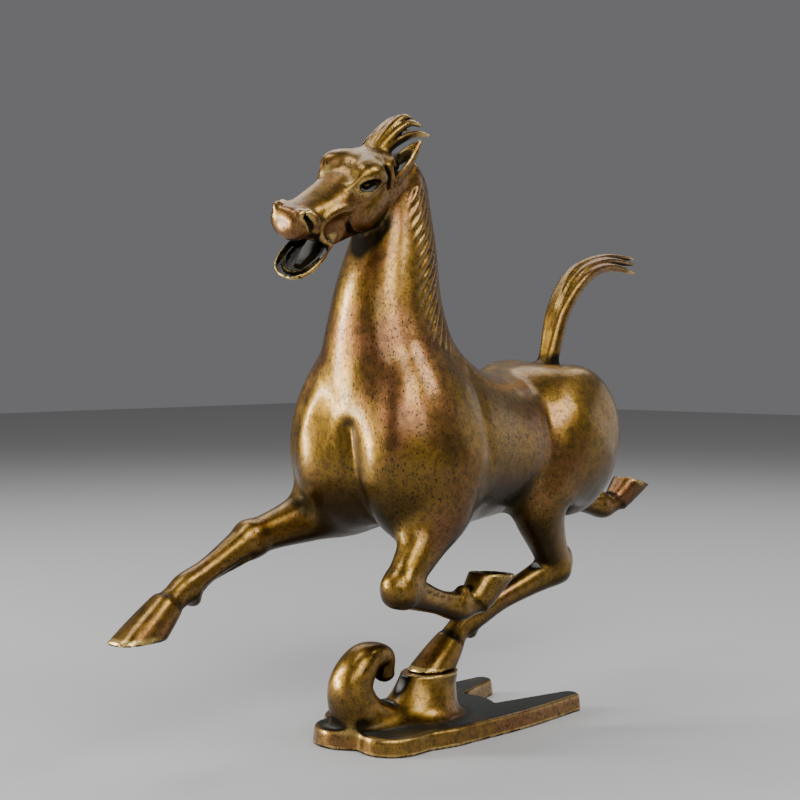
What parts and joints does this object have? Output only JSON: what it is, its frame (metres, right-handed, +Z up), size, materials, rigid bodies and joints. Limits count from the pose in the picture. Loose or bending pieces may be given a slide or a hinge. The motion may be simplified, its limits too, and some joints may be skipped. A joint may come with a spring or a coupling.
{
  "type": "flying horse statue",
  "caption": "Cast brass statue of a horse at a flying trot, poised on one hind hoof over a low cloud-shaped base that stands on a shelf or desk.",
  "frame": {"origin": "on the underside of the cloud base, at the middle of its plate", "axes": "+Z up; the horse heads along -X, with its left (near) flank facing -Y"},
  "size_m": [0.3403, 0.0815, 0.2649],
  "materials": {
    "horse": "antique patina over cast brass, rubbed bright on the edges",
    "cloud_base": "darker antique patina over cast brass, rubbed bright on the rims"
  },
  "bodies": {
    "root": {"horse": "horse", "cloud_base": "cloud_base"}
  },
  "joints": []
}
